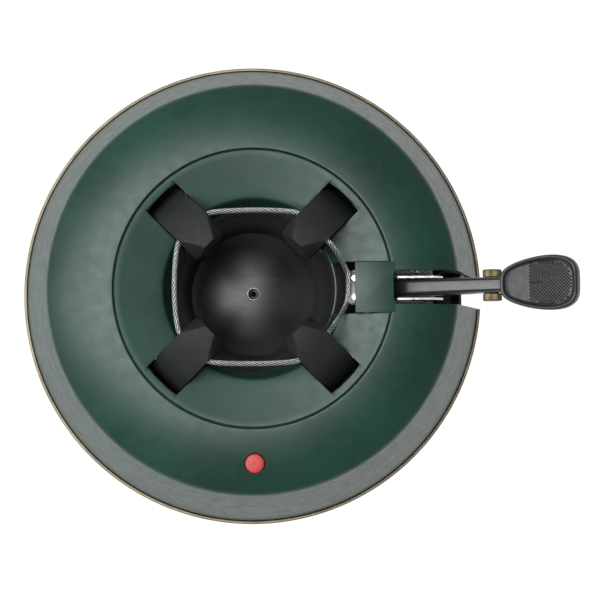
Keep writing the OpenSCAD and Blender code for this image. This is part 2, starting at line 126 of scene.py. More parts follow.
def piece(name, drawing, finish=None):
    """Makes an object in metres from a drawing in millimetres."""
    bmesh.ops.recalc_face_normals(drawing, faces=drawing.faces)
    mesh = bpy.data.meshes.new(name)
    drawing.to_mesh(mesh)
    drawing.free()
    mesh.transform(Matrix.Scale(MM, 4))
    made = bpy.data.objects.new(name, mesh)
    bpy.context.scene.collection.objects.link(made)
    if finish:
        mesh.materials.append(finish)
    return made


def settled(made):
    """Applies an object's modifiers to its mesh."""
    bpy.context.view_layer.update()
    evaluated = made.evaluated_get(bpy.context.evaluated_depsgraph_get())
    mesh = bpy.data.meshes.new_from_object(evaluated)
    made.modifiers.clear()
    made.data = mesh
    return made


def worked(made, drawings, operation="DIFFERENCE"):
    """Cuts drawings away from an object, or joins them to it."""
    for drawing in drawings:
        tool = piece("tool", drawing)
        step = made.modifiers.new("work", "BOOLEAN")
        step.operation = operation
        step.solver = "EXACT"
        step.object = tool
        settled(made)
        bpy.data.objects.remove(tool)
    return made


def softened(made, width, angle=35, segments=2):
    """Rounds an object's sharp edges to a moulding's or a press tool's radius."""
    step = made.modifiers.new("edges", "BEVEL")
    step.width = width * MM
    step.segments = segments
    step.limit_method = "ANGLE"
    step.angle_limit = math.radians(angle)
    step.miter_outer = "MITER_ARC"
    return settled(made)


def shaded(made, angle=32):
    """Shades an object smooth, with creases where it turns by more than the angle."""
    made.data.polygons.foreach_set("use_smooth", [True] * len(made.data.polygons))
    made.data.set_sharp_from_angle(angle=math.radians(angle))
    return made


def fitted(made, body, *cad_nodes, slot):
    """Hangs a piece on its body, in place of the plain solids."""
    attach(made, body)
    if cad_nodes:
        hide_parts(*cad_nodes)
    return made


# ---- Finishes ----
def srgb(code):
    """An sRGB hex colour as a shader's linear colour."""
    parts = [int(code[i:i + 2], 16) / 255 for i in (1, 3, 5)]
    return tuple(c / 12.92 if c <= 0.04045 else ((c + 0.055) / 1.055) ** 2.4 for c in parts) + (1.0,)


def per(size_mm):
    """The scale that makes a pattern's cells as wide as a real size in millimetres."""
    return 1000 / size_mm


def add(tree, kind, values=None, **settings):
    """Adds a node with its settings, values and links."""
    made = tree.nodes.new("ShaderNode" + kind)
    for name, value in settings.items():
        setattr(made, name, value)
    for name, value in (values or {}).items():
        if isinstance(value, bpy.types.NodeSocket):
            tree.links.new(value, made.inputs[name])
        else:
            made.inputs[name].default_value = value
    return made


def new_finish(name, **sockets):
    """A material with its shader's fixed sockets set, and its node tree, shader and place in space."""
    made = bpy.data.materials.new(name)
    made.use_nodes = True
    tree = made.node_tree
    shader = tree.nodes["Principled BSDF"]
    for socket, value in sockets.items():
        shader.inputs[socket.replace("_", " ")].default_value = value
    place = add(tree, "TexCoord").outputs["Object"]
    return made, tree, shader, place


def mottled(tree, place, low, high, size, detail=3.0, spread=(0.35, 0.65)):
    """A colour that drifts between two shades in patches of a real size."""
    cloud = add(tree, "TexNoise", {"Vector": place, "Scale": per(size), "Detail": detail})
    ramp = add(tree, "ValToRGB", {"Fac": cloud.outputs["Fac"]})
    ramp.color_ramp.elements[0].position, ramp.color_ramp.elements[1].position = spread
    ramp.color_ramp.elements[0].color, ramp.color_ramp.elements[1].color = srgb(low), srgb(high)
    return ramp.outputs["Color"]


def drifting(tree, place, low, high, size, detail=3.0):
    """A number that drifts between two values in patches of a real size."""
    cloud = add(tree, "TexNoise", {"Vector": place, "Scale": per(size), "Detail": detail})
    span = add(tree, "MapRange", {"Value": cloud.outputs["Fac"], "From Min": 0.3, "From Max": 0.7,
                                  "To Min": low, "To Max": high})
    return span.outputs["Result"]


def polypropylene_sparked():
    """Green polypropylene from a spark-eroded mould: a fine matt grain that breaks up a broad soft sheen."""
    made, tree, shader, place = new_finish("polypropylene_sparked_green", IOR=1.49)
    tone = mottled(tree, place, "#0f2f26", "#143a30", 60)
    # The grain is about 0.2 mm wide; it is drawn at 1.1 mm so that it shows
    grain = add(tree, "TexNoise", {"Vector": place, "Scale": per(1.1), "Detail": 4.0, "Roughness": 0.65})
    specks = add(tree, "MapRange", {"Value": grain.outputs["Fac"], "From Min": 0.5, "From Max": 0.8,
                                    "To Min": 0.0, "To Max": 0.3})
    colour = add(tree, "Mix", {0: specks.outputs["Result"], 6: tone, 7: srgb("#2c5a4c")}, data_type="RGBA")
    bump = add(tree, "Bump", {"Height": grain.outputs["Fac"], "Strength": 0.35, "Distance": 0.00012})
    tree.links.new(colour.outputs[2], shader.inputs["Base Color"])
    tree.links.new(drifting(tree, place, 0.40, 0.50, 9), shader.inputs["Roughness"])
    tree.links.new(bump.outputs["Normal"], shader.inputs["Normal"])
    return made


def polypropylene_polished():
    """Black polypropylene from a polished mould: smooth, with a soft broad highlight and faint marks."""
    made, tree, shader, place = new_finish("polypropylene_polished_black", IOR=1.49)
    tone = mottled(tree, place, "#08090b", "#0d0e12", 30)
    marks = add(tree, "Mapping", {"Vector": place, "Rotation": (0.4, 0.2, 0.9), "Scale": (1.0, 12.0, 1.0)})
    scuffs = add(tree, "TexNoise", {"Vector": marks.outputs["Vector"], "Scale": per(14), "Detail": 5.0})
    sheen = add(tree, "MapRange", {"Value": scuffs.outputs["Fac"], "From Min": 0.35, "From Max": 0.7,
                                   "To Min": 0.30, "To Max": 0.40})
    bump = add(tree, "Bump", {"Height": scuffs.outputs["Fac"], "Strength": 0.08, "Distance": 0.0001})
    tree.links.new(tone, shader.inputs["Base Color"])
    tree.links.new(sheen.outputs["Result"], shader.inputs["Roughness"])
    tree.links.new(bump.outputs["Normal"], shader.inputs["Normal"])
    return made


def nylon_glass_filled():
    """Near-black nylon with glass fibres, moulded: almost matt, with a faint cloudy grain of fibres."""
    made, tree, shader, place = new_finish("nylon_glass_filled_black", IOR=1.53)
    tone = mottled(tree, place, "#0b0e10", "#111517", 12)
    # Fibres are 0.3 mm long and drawn at 0.9 mm
    fibres = add(tree, "TexNoise", {"Vector": place, "Scale": per(0.9), "Detail": 5.0, "Roughness": 0.7})
    bump = add(tree, "Bump", {"Height": fibres.outputs["Fac"], "Strength": 0.25, "Distance": 0.0001})
    tree.links.new(tone, shader.inputs["Base Color"])
    tree.links.new(drifting(tree, place, 0.7, 0.8, 5), shader.inputs["Roughness"])
    tree.links.new(bump.outputs["Normal"], shader.inputs["Normal"])
    return made


def moulded_black(name, shade, rough):
    """Plain black moulded plastic for pieces that stay in the dark: matt, with a slight grain."""
    made, tree, shader, place = new_finish(name, IOR=1.49)
    tone = mottled(tree, place, "#0a0b0c", shade, 15)
    grain = add(tree, "TexNoise", {"Vector": place, "Scale": per(1.0), "Detail": 3.0})
    bump = add(tree, "Bump", {"Height": grain.outputs["Fac"], "Strength": 0.2, "Distance": 0.0001})
    tree.links.new(tone, shader.inputs["Base Color"])
    tree.links.new(drifting(tree, place, rough - 0.05, rough + 0.05, 6), shader.inputs["Roughness"])
    tree.links.new(bump.outputs["Normal"], shader.inputs["Normal"])
    return made


def bronze_filled(name, low, high, metallic, rough):
    """Plastic filled with bronze-coloured flake: a soft metallic brown that glints in fine points."""
    made, tree, shader, place = new_finish(name, Metallic=metallic)
    tone = mottled(tree, place, low, high, 20)
    # Flakes are 0.05 mm wide and drawn at 0.6 mm
    flakes = add(tree, "TexVoronoi", {"Vector": place, "Scale": per(0.6)})
    glint = add(tree, "MapRange", {"Value": flakes.outputs["Distance"], "From Min": 0.0, "From Max": 0.5,
                                   "To Min": 0.35, "To Max": 0.0})
    colour = add(tree, "Mix", {0: glint.outputs["Result"], 6: tone, 7: srgb("#b59c6c")}, data_type="RGBA")
    bump = add(tree, "Bump", {"Height": flakes.outputs["Distance"], "Strength": 0.12, "Distance": 0.0001})
    tree.links.new(colour.outputs[2], shader.inputs["Base Color"])
    tree.links.new(drifting(tree, place, rough - 0.06, rough + 0.06, 4), shader.inputs["Roughness"])
    tree.links.new(bump.outputs["Normal"], shader.inputs["Normal"])
    return made


def wire_galvanised():
    """Drawn and galvanised steel wire, laid into strands, with a painted highlight along each wire and
    painted shade between strands.
    """
    made, tree, shader, place = new_finish("wire_galvanised", Metallic=1.0)
    strand = add(tree, "UVMap").outputs["UV"]
    # Seven wires round a strand; U goes once round it and V is millimetres along it
    lay = add(tree, "Mapping", {"Vector": strand, "Rotation": (0, 0, 0.35), "Scale": (7.0, 0.35, 1.0)})
    wires = add(tree, "TexWave", {"Vector": lay.outputs["Vector"], "Scale": 0.5, "Distortion": 0.4},
                wave_profile="SIN")
    # The ramp paints a highlight along the crown of each wire and painted shade between neighbouring wires
    tone = add(tree, "ValToRGB", {"Fac": wires.outputs["Fac"]})
    tone.color_ramp.elements[0].color = srgb("#b3b8ba")
    tone.color_ramp.elements[1].color = srgb("#fbfcfc")
    # Painted shade darkens the grooves between strands and each strand's sides away from the outside: U is 0
    # and 1 on the outside of the rope
    around = add(tree, "SeparateXYZ", {"Vector": strand}).outputs["X"]
    inward = add(tree, "Math", {0: around, 1: 0.5}, operation="SUBTRACT")
    outward = add(tree, "Math", {0: inward.outputs[0]}, operation="ABSOLUTE")
    groove = add(tree, "MapRange", {"Value": outward.outputs[0], "From Min": 0.33, "From Max": 0.39,
                                    "To Min": 1.0, "To Max": 0.0})
    groove_shade_painted = add(tree, "Mix", {0: groove.outputs["Result"], 6: tone.outputs["Color"], 7: srgb("#0e1112")},
                  data_type="RGBA")
    bump = add(tree, "Bump", {"Height": wires.outputs["Fac"], "Strength": 0.8, "Distance": 0.0002})
    tree.links.new(groove_shade_painted.outputs[2], shader.inputs["Base Color"])
    tree.links.new(drifting(tree, place, 0.42, 0.54, 3), shader.inputs["Roughness"])
    tree.links.new(bump.outputs["Normal"], shader.inputs["Normal"])
    return made


def steel_zinc_plated():
    """Pressed steel sheet, bright zinc plated: a cool shiny grey with faint spangle and rolling lines."""
    made, tree, shader, place = new_finish("steel_zinc_plated", Metallic=1.0)
    tone = mottled(tree, place, "#b9bec4", "#dde0e2", 7)
    rolled = add(tree, "Mapping", {"Vector": place, "Scale": (1.0, 1.0, 18.0)})
    lines = add(tree, "TexNoise", {"Vector": rolled.outputs["Vector"], "Scale": per(6), "Detail": 4.0})
    bump = add(tree, "Bump", {"Height": lines.outputs["Fac"], "Strength": 0.12, "Distance": 0.0001})
    tree.links.new(tone, shader.inputs["Base Color"])
    tree.links.new(drifting(tree, place, 0.22, 0.36, 5), shader.inputs["Roughness"])
    tree.links.new(bump.outputs["Normal"], shader.inputs["Normal"])
    return made


def steel_oiled(name, low, high):
    """Turned and hardened steel under a film of oil: dark grey, with tool lines and a wet sheen."""
    made, tree, shader, place = new_finish(name, Metallic=1.0, Coat_Weight=0.2)
    tone = mottled(tree, place, low, high, 5)
    tool = add(tree, "Mapping", {"Vector": place, "Scale": (1.0, 9.0, 1.0)})
    lines = add(tree, "TexNoise", {"Vector": tool.outputs["Vector"], "Scale": per(3), "Detail": 4.0})
    bump = add(tree, "Bump", {"Height": lines.outputs["Fac"], "Strength": 0.15, "Distance": 0.0001})
    tree.links.new(tone, shader.inputs["Base Color"])
    tree.links.new(drifting(tree, place, 0.30, 0.45, 4), shader.inputs["Roughness"])
    tree.links.new(bump.outputs["Normal"], shader.inputs["Normal"])
    return made


def steel_powder_coated():
    """Pressed steel with black powder coat: satin, with the slight orange peel of melted powder."""
    made, tree, shader, place = new_finish("steel_powder_coated_black", IOR=1.5, Coat_Weight=0.3)
    shader.inputs["Coat Roughness"].default_value = 0.25
    tone = mottled(tree, place, "#111214", "#18191c", 18)
    # Orange peel, 1.5 mm from hump to hump
    peel = add(tree, "TexNoise", {"Vector": place, "Scale": per(1.5), "Detail": 1.0})
    bump = add(tree, "Bump", {"Height": peel.outputs["Fac"], "Strength": 0.15, "Distance": 0.0001})
    tree.links.new(tone, shader.inputs["Base Color"])
    tree.links.new(drifting(tree, place, 0.30, 0.38, 8), shader.inputs["Roughness"])
    tree.links.new(bump.outputs["Normal"], shader.inputs["Normal"])
    return made


def rubber_moulded(name, low, high, rough):
    """Soft black moulded rubber: dull, with a dusty bloom and a soft highlight on its rounded edges."""
    made, tree, shader, place = new_finish(name, IOR=1.5, Sheen_Weight=0.05)
    tone = mottled(tree, place, low, high, 8)
    grain = add(tree, "TexNoise", {"Vector": place, "Scale": per(0.7), "Detail": 4.0})
    bump = add(tree, "Bump", {"Height": grain.outputs["Fac"], "Strength": 0.12, "Distance": 0.0001})
    tree.links.new(tone, shader.inputs["Base Color"])
    tree.links.new(drifting(tree, place, rough - 0.05, rough + 0.05, 5), shader.inputs["Roughness"])
    tree.links.new(bump.outputs["Normal"], shader.inputs["Normal"])
    return made


def polystyrene_red():
    """Red moulded polystyrene: a clean warm red with a slight glow from inside and a satin skin."""
    made, tree, shader, place = new_finish("polystyrene_red", IOR=1.59, Subsurface_Weight=0.08)
    shader.inputs["Subsurface Scale"].default_value = 0.002
    tone = mottled(tree, place, "#ab2b20", "#bc3529", 5)
    skin = add(tree, "TexNoise", {"Vector": place, "Scale": per(0.8), "Detail": 3.0})
    bump = add(tree, "Bump", {"Height": skin.outputs["Fac"], "Strength": 0.12, "Distance": 0.0001})
    tree.links.new(tone, shader.inputs["Base Color"])
    tree.links.new(drifting(tree, place, 0.5, 0.6, 3), shader.inputs["Roughness"])
    tree.links.new(bump.outputs["Normal"], shader.inputs["Normal"])
    return made


def foam_closed_cell():
    """White closed-cell foam, cut: matt, with small round cells."""
    made, tree, shader, place = new_finish("foam_closed_cell", IOR=1.45)
    cells = add(tree, "TexVoronoi", {"Vector": place, "Scale": per(1.6)})
    tone = mottled(tree, place, "#d8d3c6", "#eae6dc", 10)
    bump = add(tree, "Bump", {"Height": cells.outputs["Distance"], "Strength": 0.5, "Distance": 0.0003})
    tree.links.new(tone, shader.inputs["Base Color"])
    tree.links.new(drifting(tree, place, 0.7, 0.85, 4), shader.inputs["Roughness"])
    tree.links.new(bump.outputs["Normal"], shader.inputs["Normal"])
    return made


def acrylic_light_table():
    """The light table: opal acrylic lit from below, matt and evenly white, with next to no shadow."""
    made, tree, shader, place = new_finish("acrylic_opal_lit", IOR=1.45, Emission_Strength=1.03)
    shader.inputs["Emission Color"].default_value = srgb("#ffffff")
    tree.links.new(mottled(tree, place, "#303132", "#343536", 400), shader.inputs["Base Color"])
    tree.links.new(drifting(tree, place, 0.85, 0.95, 50), shader.inputs["Roughness"])
    return made


GREEN = polypropylene_sparked()
BOWL_BLACK = polypropylene_polished()
CLAW_NYLON = nylon_glass_filled()
PAN_BLACK = moulded_black("polypropylene_black", "#14161a", 0.5)
BRONZE_TRIM = bronze_filled("acrylic_bronze_flake", "#786c58", "#90846c", 0.35, 0.5)
BRONZE_LOCK = bronze_filled("nylon_bronze_flake", "#5c4e38", "#77664c", 0.6, 0.42)
ROPE_WIRE = wire_galvanised()
ZINC = steel_zinc_plated()
OILED_STEEL = steel_oiled("steel_turned_oiled", "#54575b", "#767a7e")
BLACKED_STEEL = steel_oiled("steel_turned_blacked", "#17181a", "#242629")
LEVER_BLACK = steel_powder_coated()
PAD_RUBBER = rubber_moulded("elastomer_pedal_black", "#17171a", "#202024", 0.42)
FOOT_RUBBER = rubber_moulded("rubber_foot_black", "#141414", "#1d1d1d", 0.6)
GAUGE_RED = polystyrene_red()
FLOAT_FOAM = foam_closed_cell()
SLOT_FINISHES = {
    "shell_green": GREEN, "black_plastic": PAN_BLACK, "claw_plastic": CLAW_NYLON, "bowl_plastic": BOWL_BLACK,
    "black_rubber": FOOT_RUBBER, "bronze_plastic": BRONZE_TRIM, "zinc_steel": ZINC, "steel": OILED_STEEL,
    "wire_rope": ROPE_WIRE, "lever_black": LEVER_BLACK, "pad_black": PAD_RUBBER, "float_white": FLOAT_FOAM,
    "gauge_red": GAUGE_RED,
}


def finish_cad_nodes():
    """Gives each carried-over node the finish of its own slot."""
    for part in frame["record"]["subparts"]:
        node = frame["nodes"][part["node"]]
        node.data.materials.clear()
        node.data.materials.append(SLOT_FINISHES[part["material_slot"]])


# ---- Shell, ring and bowl ----
SHELL_TOP = 137.0
SEAT_R = 111.2
CROWN_R = 106.0
WALL = 3.0
LEDGE_Z = 130.0
SLOT_HALF = 13.6
TONGUE_HALF = 19.9
BOWL_R = 66.0
BOWL_FLOOR = 20.5
RIM_R = 75.5
CLAW_HALF = 15.5
TONGUE_IN = 80.7
FLOAT_Y = 138.5
CAP_R = 7.5
CLAW_AZIMUTHS = {"ne": 45, "nw": 135, "sw": 225, "se": 315}
LEVER_RISE = 30.0
crown_centre = (SEAT_R - CROWN_R * math.sin(math.radians(2)), SHELL_TOP - CROWN_R * math.cos(math.radians(2)))


def shell_height(radius):
    """Height of the crown's surface at a distance from the axis."""
    return crown_centre[1] + math.sqrt(CROWN_R ** 2 - (radius - crown_centre[0]) ** 2)


def outer_shell():
    """The domed shell, with its tongue, lever slot and gauge hole."""
    crease = [c + (CROWN_R - 8) * f(math.radians(31)) for c, f in zip(crown_centre, (math.sin, math.cos))]
    slope = math.radians(74)

    def skirt(inset, z):
        reach = 8 - inset
        x, top = crease[0] + reach * math.sin(slope), crease[1] + reach * math.cos(slope)
        return (x + (top - z) / math.tan(slope), z)

    inner_start = math.degrees(math.asin((SEAT_R + WALL - crown_centre[0]) / (CROWN_R - WALL)))
    section = ([(SEAT_R + 0.6, SHELL_TOP - 0.08)] + arc(crown_centre, CROWN_R, 2.6, 31, 26)
               + arc(crease, 8, 34, 74, 12) + [skirt(0, z) for z in (60, 40, 20, 6)]
               + [skirt(WALL, 6)] + arc(crease, 8 - WALL, 74, 34, 6)
               + arc(crown_centre, CROWN_R - WALL, 31, inner_start, 14)
               + [(SEAT_R + WALL, LEDGE_Z - WALL), (SEAT_R - 7, LEDGE_Z - WALL), (SEAT_R - 7, LEDGE_Z),
                  (SEAT_R, LEDGE_Z), (SEAT_R, SHELL_TOP - 0.6), (SEAT_R + 0.2, SHELL_TOP - 0.2)])
    made = piece("shell", turned(section), GREEN)
    arch = [(SEAT_R + 0.9, -TONGUE_HALF), (SEAT_R + 0.9, TONGUE_HALF), (TONGUE_IN, TONGUE_HALF),
            (TONGUE_IN, -TONGUE_HALF)]
    tongue = prism(arch, SHELL_TOP - 3.5, SHELL_TOP - 0.02)
    worked(made, [tongue], "UNION")
    corner, slot_in = 4.0, 111.0
    slot = ([(260, -SLOT_HALF), (260, SLOT_HALF)]
            + arc((slot_in + corner, SLOT_HALF - corner), corner, 0, -90, 6)
            + arc((slot_in + corner, corner - SLOT_HALF), corner, -90, -180, 6))
    gauge = prism(arc((0, -FLOAT_Y), CAP_R + 0.7, 0, 354, 59), 90, 160)
    worked(made, [prism(slot, -5, 180), gauge])
    softened(made, 0.45, 48)
    return fitted(shaded(made, 30), "root", "outer_shell", slot="shell_green")


def at_claws(half, from_r, to_r, from_z, to_z):
    """A block across each claw's place."""
    outline = [(from_r, -half), (to_r, -half), (to_r, half), (from_r, half)]
    return [placed(prism(outline, from_z, to_z), Matrix.Rotation(math.radians(azimuth), 4, "Z"))
            for azimuth in CLAW_AZIMUTHS.values()]


def cover_ring():
    """The dished inner ring, with claw slots and the gap that the tongue lies in."""
    low, inner, lip = 127.0, 71.0, BOWL_R + 0.5
    high_r, low_r, fall = 109.2, 73.6, SHELL_TOP - low - 0.4
    section = ([(110, SHELL_TOP - 1.2), (109.8, SHELL_TOP - 0.5), (high_r, SHELL_TOP)]
               + [(high_r + (low_r - high_r) * i / 8, SHELL_TOP - fall * i / 8) for i in range(1, 9)]
               + [(inner + 1.7, low + 0.05), (inner + 0.9, low - 0.7), (inner + 0.35, low - 1.6),
                  (inner, low - 2.8), (lip + 0.2, 110.0), (lip, 109.0), (lip + 0.2, 108.2),
                  (lip + 0.6, 108), (lip + 3, 108),
                  (inner + 3, low - 3), (106, SHELL_TOP - 4), (106, LEDGE_Z), (110, LEDGE_Z)])
    made = piece("cover_ring_dished", turned(section), GREEN)
    half = TONGUE_HALF + 0.7
    gap = prism([(20, -half), (150, -half), (150, half), (20, half)], 80, 170)
    worked(made, [gap] + at_claws(CLAW_HALF + 0.7, 50, 103.8, 80, 170))
    softened(made, 0.5, 48)
    return fitted(shaded(made, 30), "root", "cover_ring", slot="shell_green")


def trunk_bowl():
    """The water bowl, notched for the claws. Its bottom falls away from the middle to the wall's foot."""
    valley_r, wall, sheet = BOWL_R - 12, 3.0, 2.7

    def dome(radii, drop=0.0):
        return [(r, BOWL_FLOOR - (min(r, 45) ** 2 - 42) / 300 - 0.3 * max(r - 45, 0) - drop) for r in radii]

    foot = dome([valley_r])[0][1]
    rise = [(BOWL_R - 8, foot + 8), (BOWL_R - 4, foot + 20), (BOWL_R - 1, foot + 38)]
    # The rim slopes down outwards
    rim = [(BOWL_R + wall, 104.0), (BOWL_R + wall + 1, 105), (RIM_R - 0.3, 105), (RIM_R, 105.3),
           (RIM_R, 105.8), (RIM_R - 0.4, 106.25), (67.9, 107.9), (67.3, 108),
           (BOWL_R + 0.6, 108), (BOWL_R + 0.2, 107.8),
           (BOWL_R, 107.4)]
    section = ([(0, BOWL_FLOOR - wall), (6.5, BOWL_FLOOR - wall)]
               + dome((12, 19, 26, 33, 40, 47, valley_r), sheet) + [(r + wall, z - sheet) for r, z in rise]
               + [(BOWL_R + wall, 70)] + rim + [(BOWL_R, 70)] + rise[::-1]
               + dome([valley_r] + list(range(51, 8, -3))) + [(6.5, BOWL_FLOOR), (0, BOWL_FLOOR)])
    made = piece("bowl", turned(section), BOWL_BLACK)
    boss = turned([(0, 6), (14, 6), (14, BOWL_FLOOR - 2), (0, BOWL_FLOOR - 2)], 48)
    worked(made, [boss], "UNION")
    worked(made, at_claws(CLAW_HALF + 1.5, 48, 110, 64, 130))
    softened(made, 0.5, 84)
    return fitted(shaded(made, 30), "root", "trunk_bowl", slot="bowl_plastic")


def trunk_spike():
    """The boss and point that the trunk is pushed down on."""
    profile = [(0, -6), (2, -6), (2, 0), (5.4, 0), (5.6, 0.3), (5.6, 2.2), (5.35, 2.5), (4.75, 2.5),
               (3.9, 1.2), (2.2, 1.0), (1.6, 1.6), (1.5, 6.1), (0.15, 10.2), (0, 10.3)]
    section = [(r, BOWL_FLOOR + z) for r, z in profile]
    made = piece("spike", turned(section, 64), BLACKED_STEEL)
    made.data.materials.append(OILED_STEEL)
    # The boss's chamfered rim gets the lighter steel as a painted highlight round its edge
    for face in made.data.polygons:
        radius = face.center.xy.length / MM
        face.material_index = int(5.0 < radius < 5.5 and face.center.z / MM > BOWL_FLOOR + 2)
    return fitted(shaded(made, 40), "root", "centre_spike", slot="steel")


def trim_ring():
    """The bronze-coloured band round the stand's foot, notched for the lever."""
    section = ([(190, 3), (190, 1.2), (190.4, 1), (199, 1), (199.7, 1.3), (200, 2)]
               + arc((198.8, 6.8), 1.2, 90, 0, 6) + [(197.8, 7.8), (197.6, 3)])
    made = piece("trim_band", turned(section, 300), BRONZE_TRIM)
    worked(made, [prism([(176, -14), (240, -14), (240, 14), (176, 14)], -5, 30)])
    return fitted(shaded(made, 40), "root", "trim_ring", slot="bronze_plastic")


# ---- Claws ----
PIVOT_R, PIVOT_Z = 96.0, 74.0
HOLE_R, HOLE_Z = 66.5, 152.0


def sliced(drawing, point, normal):
    """Cuts a drawing by a plane, drops what lies on the normal's side and closes the cut."""
    everything = drawing.verts[:] + drawing.edges[:] + drawing.faces[:]
    cut = bmesh.ops.bisect_plane(drawing, geom=everything, plane_co=point, plane_no=normal, clear_outer=True)
    rim = [g for g in cut["geom_cut"] if isinstance(g, bmesh.types.BMEdge)]
    bmesh.ops.contextual_create(drawing, geom=rim)
    return drawing


def claw_body():
    """A claw with a raised ridge, chamfered nose and rounded moulded edges."""
    side = [(103, 84), (103, 103), (100.5, 116), (95, 129), (87.5, 140), (79, 148.7), (69.5, 155.8),
            (59.5, 160.8), (47.5, 163.5), (45, 128), (46.5, 117), (58, 106), (80, 84), (87, 71), (96, 68)]
    drawing = slab(side, -CLAW_HALF, CLAW_HALF)
    top, nose = Vector((66, CLAW_HALF, 157.4)), Vector((47.5, 4.8, 163.5))
    low = Vector((48.5, CLAW_HALF, 138))
    ridge = (low - top).cross(nose - top).normalized()
    for turn in (1, -1):
        mirrored = Vector((1, turn, 1))
        chamfer = Vector((7.6 - CLAW_HALF, 3.5, 0))
        sliced(drawing, Vector((45, 7.6, 100)) * mirrored, chamfer * mirrored)
        sliced(drawing, top * mirrored, (ridge if ridge.z > 0 else -ridge) * mirrored)
    bmesh.ops.recalc_face_normals(drawing, faces=drawing.faces)
    return drawing


def claw(name, azimuth):
    """One claw, with its hub and the rope's hole through its nose."""
    made = piece("claw_" + name + "_moulded", claw_body(), CLAW_NYLON)
    softened(made, 0.9, 23, 3)
    hub = bar(PIVOT_R, PIVOT_Z, [(-9.5, 8.6), (-9.1, 9), (9.1, 9), (9.5, 8.6)])
    worked(made, [hub], "UNION")
    cheeks = [prism([(84, side * 9.5), (124, side * 9.5), (124, side * 29.5), (84, side * 29.5)], 50, 86)
              for side in (1, -1)]
    bore = bar(PIVOT_R, PIVOT_Z, [(-30, 3.06), (30, 3.06)])
    rope_hole = bar(HOLE_R, HOLE_Z, [(-20, 3.6), (-CLAW_HALF - 0.2, 3.6), (-14.2, 2.7), (14.2, 2.7),
                                     (CLAW_HALF + 0.2, 3.6), (20, 3.6)], steps=40)
    worked(made, cheeks + [bore, rope_hole])
    made.data.transform(Matrix.Rotation(math.radians(azimuth), 4, "Z"))
    return fitted(shaded(made, 28), "claw_" + name + "_body", "claw_" + name, slot="claw_plastic")


# ---- Wire rope ----
ROPE_R = 2.0
POST_X, POST_Y = 80.4, 7.4
TURN_R = 4.6
SHAFT = (132.0, 90.0)
WINDING_R = 13.5
CROSS_HIGH, CROSS_LOW = 131.0, 126.2


def resampled(route, step):
    """A smooth route through the points, in even short steps."""
    points = [Vector(p) for p in route]
    points = [2 * points[0] - points[1]] + points + [2 * points[-1] - points[-2]]
    dense = []
    for a, b, c, d in zip(points, points[1:], points[2:], points[3:]):
        for i in range(16):
            t = i / 16
            dense.append(0.5 * (2 * b + (c - a) * t + (2 * a - 5 * b + 4 * c - d) * t ** 2
                                + (3 * b - a - 3 * c + d) * t ** 3))
    dense.append(points[-2])
    even, left = [dense[0]], step
    for near, far in zip(dense, dense[1:]):
        length = (far - near).length
        along = left
        while along <= length:
            even.append(near.lerp(far, along / length))
            along += step
        left = along - length
    return even


def stranded(name, route, lay=25.0, strands=6, step=0.8):
    """A rope of strands laid round each other along a route. U goes round a strand and V along it."""
    path = resampled(route, step)
    strand_r = ROPE_R * 0.36
    drawing = bmesh.new()
    uv = drawing.loops.layers.uv.new("strand")
    heading = (path[1] - path[0]).normalized()
    side = heading.cross(Vector((0.13, 0.21, 1))).normalized()
    frames = []
    for i, point in enumerate(path):
        heading = (path[min(i + 1, len(path) - 1)] - path[max(i - 1, 0)]).normalized()
        side = (side - heading * side.dot(heading)).normalized()
        frames.append((point, side.copy(), heading.cross(side), i * step))
    sides = 8
    for strand in range(strands):
        loops = []
        for point, across, over, along in frames:
            turn = 2 * math.pi * (strand / strands + along / lay)
            out = across * math.cos(turn) + over * math.sin(turn)
            round_it = over * math.cos(turn) - across * math.sin(turn)
            middle = point + out * (ROPE_R - strand_r)
            loops.append([drawing.verts.new(middle + strand_r * (out * math.cos(a) + round_it * math.sin(a)))
                          for a in (2 * math.pi * k / sides for k in range(sides))])
        for i, (near, far) in enumerate(zip(loops, loops[1:])):
            for k in range(sides):
                face = drawing.faces.new((near[k], near[(k + 1) % sides], far[(k + 1) % sides], far[k]))
                for loop, (u, v) in zip(face.loops, ((k, i), (k + 1, i), (k + 1, i + 1), (k, i + 1))):
                    loop[uv].uv = (u / sides, v * step)
        drawing.faces.new(loops[0])
        drawing.faces.new(loops[-1])
    return shaded(piece(name, drawing, ROPE_WIRE), 70)


def rope_span(name, azimuth, bow):
    """The rope between two neighbouring claws. It shortens as they close."""
    half = (HOLE_R - CLAW_HALF) / math.sqrt(2) + 3
    out = (HOLE_R + CLAW_HALF) / math.sqrt(2) - 3
    turn = Matrix.Rotation(math.radians(azimuth), 4, "Z")
    marks = [i / 10 - 1 for i in range(21)]
    route = [turn @ Vector((half * t, out + 3 * (1 - abs(t) ** 12) + bow * (1 - t * t), HOLE_Z))
             for t in marks]
    made = stranded("rope_" + name, route)
    fitted(made, "cable_" + name + "_body", "cable_" + name, slot="wire_rope")
    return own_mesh(made)


